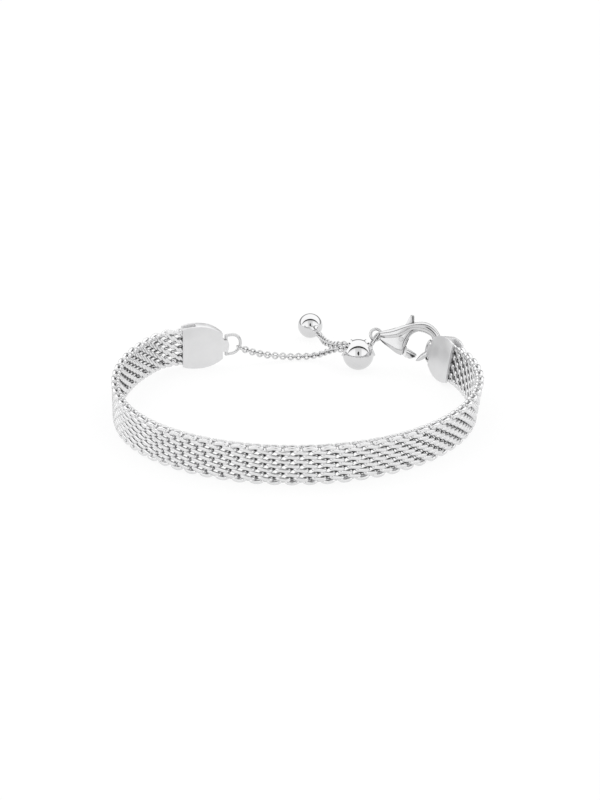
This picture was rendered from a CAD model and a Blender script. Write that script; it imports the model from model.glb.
import math

import bpy
import numpy as np
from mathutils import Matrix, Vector


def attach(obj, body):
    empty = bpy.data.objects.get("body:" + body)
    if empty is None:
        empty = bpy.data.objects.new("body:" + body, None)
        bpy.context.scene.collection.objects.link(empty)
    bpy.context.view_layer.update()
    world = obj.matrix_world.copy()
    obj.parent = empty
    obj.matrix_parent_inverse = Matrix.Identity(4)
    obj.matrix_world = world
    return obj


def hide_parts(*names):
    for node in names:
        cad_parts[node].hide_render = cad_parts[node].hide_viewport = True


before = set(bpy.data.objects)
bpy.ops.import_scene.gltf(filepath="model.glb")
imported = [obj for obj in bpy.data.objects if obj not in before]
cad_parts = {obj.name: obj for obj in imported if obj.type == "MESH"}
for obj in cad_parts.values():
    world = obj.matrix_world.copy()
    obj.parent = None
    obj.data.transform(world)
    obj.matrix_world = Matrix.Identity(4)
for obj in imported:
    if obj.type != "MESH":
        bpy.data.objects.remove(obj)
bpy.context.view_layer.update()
MM = 0.001

# The woven band: spirals of round silver wire that run across the band, flattened and threaded
# through each other. The strip is bent by hand into a loop, and it leans out a little more at its
# right end. Its place is given by s along it, off outwards of its middle and v up it, in mm.
BAND_H, BAND_T = 6.9, 1.35
BAND_START = (0.4, -37.65, 2.4)
RIGHT_ARCS = ((24.0, 30.0), (39.7, 34.2))
LEFT_ARCS = ((40.0, 30.0), (33.5, 41.3), (5.9, 7.0))
RIGHT_LEN = sum(length for length, radius in RIGHT_ARCS)
LEFT_LEN = sum(length for length, radius in LEFT_ARCS)
LEAN_LEFT, LEAN_RIGHT = -2.0, 11.0
CAP_H, PLATE_T, TUCK = 8.0, 0.45, 2.2
CAP_T = BAND_T + 0.1 + 2 * PLATE_T


# Both arms of the band start at its front and are followed from arc to arc
def walk(distance, arcs, sense):
    x = np.full_like(distance, BAND_START[0])
    y = np.full_like(distance, BAND_START[1])
    heading = np.full_like(distance, math.radians(BAND_START[2]))
    left = distance.copy()
    for length, radius in arcs:
        part = np.clip(left, 0.0, length)
        turn = sense * part / radius
        x += radius * (np.sin(heading + turn) - np.sin(heading))
        y -= radius * (np.cos(heading + turn) - np.cos(heading))
        heading += turn
        left -= part
    return x + sense * left * np.cos(heading), y + sense * left * np.sin(heading), heading


def plan(s):
    ahead = walk(np.maximum(s, 0.0), RIGHT_ARCS, 1)
    behind = walk(np.maximum(-s, 0.0), LEFT_ARCS, -1)
    return tuple(np.where(s >= 0, a, b) for a, b in zip(ahead, behind))


RIGHT_MOUTH_Y = float(plan(np.array([RIGHT_LEN]))[1][0])


def on_band(s, off, v):
    x, y, heading = plan(s)
    lean = np.radians(LEAN_LEFT + (LEAN_RIGHT - LEAN_LEFT)
                      * (s + LEFT_LEN) / (LEFT_LEN + RIGHT_LEN))
    share = np.minimum((y - BAND_START[1]) / (RIGHT_MOUTH_Y - BAND_START[1]), 1.0)
    height = v + (CAP_H - BAND_H) / 2 * share
    out = off * np.cos(lean) + height * np.sin(lean)
    rise = (BAND_T + (CAP_T - BAND_T) * share) / 2 * np.abs(np.sin(lean))
    up = height * np.cos(lean) - off * np.sin(lean) + rise
    return np.stack([x + np.sin(heading) * out, y - np.cos(heading) * out, up], axis=-1) * MM


# Spirals of five and of four turns take turns, so that both edges are scalloped. The finished weave
# is rolled, which flattens the wire a little on both faces of the band.
COLUMN, ROW, WIRE, ROLLED, PLAY = 1.45, 1.6, 0.63, 0.08, 0.02
TURNS, FOUR_TURN_AT = (4, 5), 0.16
WIRE_SIDES, BAR_STEPS, BEND_STEPS = 14, 6, 8
# A turn falls by one row: these shares of it on its front bar and on each bend, and the rest behind
FRONT_FALL, TURN_FALL = 0.14, 0.08
BACK_FALL = 1.0 - FRONT_FALL - 2 * TURN_FALL
# The middle of the wire stays this far inside both edges, and further in where it bends back
EDGE_V, EDGE_ARCH = WIRE / 2 + 0.01, 0.3


def spiral(turns):
    half_t = (BAND_T - WIRE) / 2 + ROLLED
    half_w = (COLUMN + WIRE) / 2 + PLAY - half_t
    bar = np.linspace(-1, 1, BAR_STEPS)[:-1]
    bend = np.linspace(0, math.pi, BEND_STEPS)[:-1]
    top = BAND_H / 2 + (turns - 1) / 2 * ROW
    pieces = []
    for k in range(-1, turns):
        start = top - k * ROW + FRONT_FALL / 2 * ROW
        if k >= 0:
            share = (bar + 1) / 2
            pieces.append((half_w * bar, np.full_like(bar, half_t),
                           start - FRONT_FALL * ROW * share))
            share = bend / math.pi
            pieces.append((half_w + half_t * np.sin(bend), half_t * np.cos(bend),
                           start - (FRONT_FALL + TURN_FALL * share) * ROW))
        share = (bar + 1) / 2
        pieces.append((-half_w * bar, np.full_like(bar, -half_t),
                       start - (FRONT_FALL + TURN_FALL + BACK_FALL * share) * ROW))
        if k < turns - 1:
            share = bend / math.pi
            pieces.append((-half_w - half_t * np.sin(bend), -half_t * np.cos(bend),
                           start - (1.0 - TURN_FALL + TURN_FALL * share) * ROW))
    u, off, v = (np.concatenate(column) for column in zip(*pieces))
    edge = EDGE_V + EDGE_ARCH * (u / np.abs(u).max()) ** 2
    return u, off, np.clip(v, edge, BAND_H - edge)


# A wire is a tube round its path, closed at both ends
def tube(path, radius, sides):
    askew = (0.3, 0.2, 0.9)
    along = np.gradient(path, axis=0)
    along /= np.linalg.norm(along, axis=1)[:, None]
    side = np.cross(along[0], askew)
    around = np.linspace(0, 2 * math.pi, sides, endpoint=False)
    rings = []
    for point, way in zip(path, along):
        side = side - way * (side @ way)
        side /= np.linalg.norm(side)
        other = np.cross(way, side)
        rings.append(point + radius * (np.cos(around)[:, None] * side
                                       + np.sin(around)[:, None] * other))
    count = len(path)
    j = np.arange(sides)
    first = np.arange(count - 1)[:, None] * sides
    faces = np.stack([first + j, first + (j + 1) % sides,
                      first + sides + (j + 1) % sides, first + sides + j], axis=-1)
    ends = [list(range(sides))[::-1], list(range((count - 1) * sides, count * sides))]
    return np.concatenate(rings), faces.reshape(-1, 4).tolist() + ends


# A spiral is wound flat, and the winding is then laid round the band. Its wire keeps a dark tarnish
# deep in the weave's holes, on the inner bars' outward sides, where the polishing wheel doesn't
# reach. The tarnish thins out towards both edges of the band.
TARNISH_AT, TARNISH_FROM, TARNISH_FULL = -0.15, 0.3, 0.14
THIN_WITHIN, FULL_BEYOND, THINNEST = 0.5, 1.0, 0.15


def woven(name, spirals, material):
    points, dark, faces, used = [], [], [], 0
    for middle, (wound, wound_faces) in spirals:
        off = np.clip(wound[:, 1], -BAND_T / 2, BAND_T / 2)
        points.append(on_band(middle + wound[:, 0], off, wound[:, 2]))
        depth = (TARNISH_FROM - np.abs(off - TARNISH_AT)) / (TARNISH_FROM - TARNISH_FULL)
        inset = np.minimum(wound[:, 2], BAND_H - wound[:, 2])
        amount = (inset - THIN_WITHIN) / (FULL_BEYOND - THIN_WITHIN)
        dark.append(np.clip(depth, 0.0, 1.0) * np.clip(amount, THINNEST, 1.0))
        faces += [[index + used for index in face] for face in wound_faces]
        used += len(wound)
    mesh = bpy.data.meshes.new(name)
    mesh.from_pydata(np.concatenate(points).tolist(), [], faces)
    mesh.attributes.new("tarnish", "FLOAT", "POINT").data.foreach_set("value", np.concatenate(dark))
    mesh.shade_smooth()
    mesh.materials.append(material)
    piece = bpy.data.objects.new(name, mesh)
    bpy.context.scene.collection.objects.link(piece)
    return piece


# Every piece is the same silver, a trace bluer than grey, and each is polished to its own shine.
# Faint handling marks show in its tone, in its roughness and in a very shallow bump.
BLUER, MARKED_TONE = 0.005, 0.94
SMOOTHEST, ROUGHEST, MARK_DEPTH = 0.7, 1.4, 0.02


def silver(name, grey, roughness, grain, bump):
    tone = (grey, grey, grey + BLUER)
    material = bpy.data.materials.new(name)
    material.use_nodes = True
    nodes, links = material.node_tree.nodes, material.node_tree.links
    shader = nodes["Principled BSDF"]
    shader.inputs["Metallic"].default_value = 1.0
    place = nodes.new("ShaderNodeTexCoord")
    marks = nodes.new("ShaderNodeTexNoise")
    marks.inputs["Scale"].default_value = grain
    marks.inputs["Detail"].default_value = 3.0
    links.new(place.outputs["Object"], marks.inputs["Vector"])
    shade = nodes.new("ShaderNodeValToRGB")
    shade.color_ramp.elements[0].position = 0.3
    shade.color_ramp.elements[0].color = tuple(MARKED_TONE * c for c in tone) + (1.0,)
    shade.color_ramp.elements[1].position = 0.7
    shade.color_ramp.elements[1].color = tone + (1.0,)
    links.new(marks.outputs["Fac"], shade.inputs["Fac"])
    links.new(shade.outputs["Color"], shader.inputs["Base Color"])
    wear = nodes.new("ShaderNodeMapRange")
    wear.inputs["To Min"].default_value = roughness * SMOOTHEST
    wear.inputs["To Max"].default_value = roughness * ROUGHEST
    links.new(marks.outputs["Fac"], wear.inputs["Value"])
    links.new(wear.outputs["Result"], shader.inputs["Roughness"])
    dents = nodes.new("ShaderNodeBump")
    dents.inputs["Strength"].default_value = bump
    dents.inputs["Distance"].default_value = MARK_DEPTH * MM
    links.new(marks.outputs["Fac"], dents.inputs["Height"])
    links.new(dents.outputs["Normal"], shader.inputs["Normal"])
    return material


# Tarnish is a dark film over the silver's tone. It lies where share says, or in a piece's crevices.
def tarnished(material, film_tone, share):
    nodes, links = material.node_tree.nodes, material.node_tree.links
    shader = nodes["Principled BSDF"]
    polished = shader.inputs["Base Color"].links[0].from_socket
    film = nodes.new("ShaderNodeMix")
    film.data_type = "RGBA"
    film.inputs["B"].default_value = (film_tone, film_tone, film_tone, 1.0)
    links.new(share, film.inputs["Factor"])
    links.new(polished, film.inputs["A"])
    links.new(film.outputs["Result"], shader.inputs["Base Color"])


def tarnished_in_crevices(material, film_tone, reach, open_to, shut_from):
    nodes = material.node_tree.nodes
    nearness = nodes.new("ShaderNodeAmbientOcclusion")
    nearness.inputs["Distance"].default_value = reach * MM
    share = nodes.new("ShaderNodeMapRange")
    share.inputs["From Min"].default_value = open_to
    share.inputs["From Max"].default_value = shut_from
    material.node_tree.links.new(nearness.outputs["AO"], share.inputs["Value"])
    tarnished(material, film_tone, share.outputs["Result"])


wire_silver = silver("polished silver wire", 0.78, roughness=0.1, grain=900.0, bump=0.05)
deep = wire_silver.node_tree.nodes.new("ShaderNodeAttribute")
deep.attribute_name = "tarnish"
tarnished(wire_silver, 0.06, deep.outputs["Fac"])

# The weave is drawn in three lengths. Its first and last spirals are tucked into the caps.
weave = {"weave_left": [], "weave_front": [], "weave_right": []}
LEFT_PIECE_TO, RIGHT_PIECE_FROM = -30, 22
END_MARGIN = 1.3
first_column = math.ceil((END_MARGIN - TUCK - LEFT_LEN - FOUR_TURN_AT) / COLUMN)
last_column = math.floor((RIGHT_LEN + TUCK - END_MARGIN - FOUR_TURN_AT) / COLUMN)
for column in range(first_column, last_column + 1):
    middle = FOUR_TURN_AT + column * COLUMN
    path = np.stack(spiral(TURNS[column % 2]), axis=-1)
    if middle < LEFT_PIECE_TO:
        where = "weave_left"
    elif middle < RIGHT_PIECE_FROM:
        where = "weave_front"
    else:
        where = "weave_right"
    weave[where].append((middle, tube(path, WIRE / 2, WIRE_SIDES)))
for name, spirals in weave.items():
    piece = woven(name, spirals, wire_silver)
    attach(piece, "bracelet")
    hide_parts("mesh_band")

# The end caps: folded silver plate that clamps each end of the weave, flat and softly bright, with
# the outer fold drawn in to the bar of the ring. Its edges are broken by the polishing wheel.
SAME_POINT = 0.001


def finished(name, material, corner, edge=0, swell=0):
    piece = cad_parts[name]
    mesh = piece.data
    mesh.materials.clear()
    mesh.materials.append(material)
    if "custom_normal" in mesh.attributes:
        mesh.attributes.remove(mesh.attributes["custom_normal"])
    mesh.shade_smooth()
    weld = piece.modifiers.new("one skin", "WELD")
    weld.merge_threshold = SAME_POINT * MM
    if swell:
        fuller = piece.modifiers.new("full wire", "DISPLACE")
        fuller.strength = swell * MM
        fuller.mid_level = 0.0
    if edge:
        broken = piece.modifiers.new("broken edges", "BEVEL")
        broken.width = edge * MM
        broken.segments = 2
        broken.limit_method = "ANGLE"
        broken.angle_limit = math.radians(corner)
    crisp = piece.modifiers.new("crisp corners", "EDGE_SPLIT")
    crisp.split_angle = math.radians(corner)


plate_silver = silver("satin silver plate", 0.78, roughness=0.42, grain=500.0, bump=0.0)
for name in ("end_cap_left", "end_cap_right"):
    finished(name, plate_silver, corner=40, edge=0.07)

# The rings: stout round wire bent to a D that hangs in each cap, and the oval ring that joins the
# chain to the clasp.
ring_silver = silver("drawn silver wire", 0.65, roughness=0.08, grain=800.0, bump=0.03)
for name in ("d_ring_left", "d_ring_right", "jump_ring"):
    finished(name, ring_silver, corner=50, swell=0.035)

# The chain: small round cable links, each soldered shut. Their wire is drawn a little fuller than
# in the CAD, where loose links need more room between them, and it is tarnished where links meet.
link_silver = silver("silver links", 0.68, roughness=0.1, grain=1200.0, bump=0.05)
tarnished_in_crevices(link_silver, film_tone=0.12, reach=0.35, open_to=0.75, shut_from=0.35)
finished("chain", link_silver, corner=50, swell=0.04)

# The slider and the end ball: hollow balls pressed from silver sheet and mirror polished. The
# slider's two openings have low collars.
ball_silver = silver("mirror polished silver", 0.7, roughness=0.03, grain=300.0, bump=0.02)
for name in ("slider_ball", "end_ball"):
    finished(name, ball_silver, corner=40)

# The clasp: a cast and polished lobster clasp, with a lever that turns on a pin through its body.
# The polish leaves the crease under its arm, the lever's slot and the grooves on its tip dark.
clasp_silver = silver("polished cast silver", 0.64, roughness=0.12, grain=450.0, bump=0.03)
tarnished_in_crevices(clasp_silver, film_tone=0.08, reach=0.5, open_to=0.8, shut_from=0.5)
finished("clasp_body", clasp_silver, corner=38)
finished("clasp_lever", clasp_silver, corner=38, edge=0.03)

# The floor: a plain white table top, with a little light of its own so that shadows stay faint.
FLOOR_REACH, FLOOR_DROP = 3000 * MM, 0.02 * MM
floor_mesh = bpy.data.meshes.new("floor")
corners = [(x * FLOOR_REACH, y * FLOOR_REACH, 0) for x, y in ((-1, -1), (1, -1), (1, 1), (-1, 1))]
floor_mesh.from_pydata(corners, [], [(0, 1, 2, 3)])
floor = bpy.data.objects.new("floor", floor_mesh)
bpy.context.scene.collection.objects.link(floor)
floor.location.z = -FLOOR_DROP
white = bpy.data.materials.new("white table")
white.use_nodes = True
white_shader = white.node_tree.nodes["Principled BSDF"]
white_shader.inputs["Base Color"].default_value = (0.13, 0.13, 0.13, 1)
white_shader.inputs["Roughness"].default_value = 0.9
white_shader.inputs["Specular IOR Level"].default_value = 0.1
white_shader.inputs["Emission Color"].default_value = (1, 1, 1, 1)
white_shader.inputs["Emission Strength"].default_value = 0.87
floor_mesh.materials.append(white)

# The light: a white studio seen from the table. A wide soft box hangs overhead, and its front edge
# is a dark line; the front of the room is a paler grey between two white screens. A stand in front
# is seen as a small dark spot in the mirror of the balls.
world = bpy.data.worlds.new("white studio")
bpy.context.scene.world = world
world.use_nodes = True
nodes, links = world.node_tree.nodes, world.node_tree.links


def maths(operation, *values):
    node = nodes.new("ShaderNodeMath")
    node.operation = operation
    for socket, value in zip(node.inputs, values):
        if hasattr(value, "links"):
            links.new(value, socket)
        else:
            socket.default_value = value
    return node.outputs[0]


# Greys of the room by their height, in degrees from the front of the table over the top to its back
def greys(by, stops):
    ramp = nodes.new("ShaderNodeValToRGB")
    links.new(by, ramp.inputs["Fac"])
    stops = [(spot / 180, value) for spot, value in stops]
    ramp.color_ramp.elements[0].position = stops[0][0]
    ramp.color_ramp.elements[1].position = stops[-1][0]
    for spot, value in stops[1:-1]:
        ramp.color_ramp.elements.new(spot)
    for stop, (spot, value) in zip(ramp.color_ramp.elements, stops):
        stop.color = (value, value, value, 1)
    return ramp.outputs["Color"]


way = nodes.new("ShaderNodeTexCoord")
split = nodes.new("ShaderNodeSeparateXYZ")
links.new(way.outputs["Generated"], split.inputs["Vector"])
front = maths("MULTIPLY", split.outputs["Y"], -1.0)
height = maths("DIVIDE", maths("ARCTAN2", split.outputs["Z"], front), math.pi)
middle_part = greys(height, [(0, 0.3), (3, 0.35), (6, 0.75), (60, 0.66), (68, 0.6), (71, 0.03),
                             (83, 0.03), (87, 1.0), (152, 1.0), (160, 0.25), (180, 0.2)])
side_part = greys(height, [(0, 0.3), (3, 0.35), (7, 1.0), (50, 0.95), (68, 0.8), (71, 0.03),
                           (83, 0.03), (87, 1.0), (152, 1.0), (160, 0.25), (180, 0.2)])
SCREEN_FROM, SCREEN_FULL = 0.28, 0.45
aside = nodes.new("ShaderNodeMapRange")
aside.interpolation_type = "SMOOTHSTEP"
aside.inputs["From Min"].default_value = SCREEN_FROM
aside.inputs["From Max"].default_value = SCREEN_FULL
links.new(maths("ABSOLUTE", split.outputs["X"]), aside.inputs["Value"])
room = nodes.new("ShaderNodeMix")
room.data_type = "RGBA"
links.new(aside.outputs["Result"], room.inputs["Factor"])
links.new(middle_part, room.inputs["A"])
links.new(side_part, room.inputs["B"])
STAND_WIDTH, STAND_AT, STAND_HEIGHT = 0.13, 26 / 180, 17 / 180
STAND_WITHIN, STAND_FADED, STAND_GREY = 0.6, 1.2, 0.03
across = maths("DIVIDE", split.outputs["X"], STAND_WIDTH)
upward = maths("DIVIDE", maths("SUBTRACT", height, STAND_AT), STAND_HEIGHT)
stand = nodes.new("ShaderNodeMapRange")
stand.inputs["From Min"].default_value = STAND_WITHIN
stand.inputs["From Max"].default_value = STAND_FADED
stand.inputs["To Min"].default_value = STAND_GREY
stand.inputs["To Max"].default_value = 1.0
links.new(maths("ADD", maths("MULTIPLY", across, across), maths("MULTIPLY", upward, upward)),
          stand.inputs["Value"])
LIGHT = 1.42
links.new(maths("MULTIPLY", LIGHT, stand.outputs["Result"]), nodes["Background"].inputs["Strength"])
links.new(room.outputs["Result"], nodes["Background"].inputs["Color"])

# The camera stands a good half metre off, 20 degrees above the table, in front of the band.
ELEVATION = math.radians(20)
AIM = Vector((0.4, 2.51, 0.0)) * MM
DISTANCE = 525 * MM
camera = bpy.data.objects.new("camera", bpy.data.cameras.new("camera"))
bpy.context.scene.collection.objects.link(camera)
camera.location = AIM + DISTANCE * Vector((0, -math.cos(ELEVATION), math.sin(ELEVATION)))
camera.rotation_euler = (math.pi / 2 - ELEVATION, 0, 0)
camera.data.lens = 134.66
camera.data.sensor_width = 36.0
camera.data.clip_start = 0.01
bpy.context.scene.camera = camera
bpy.context.scene.view_settings.view_transform = "Standard"
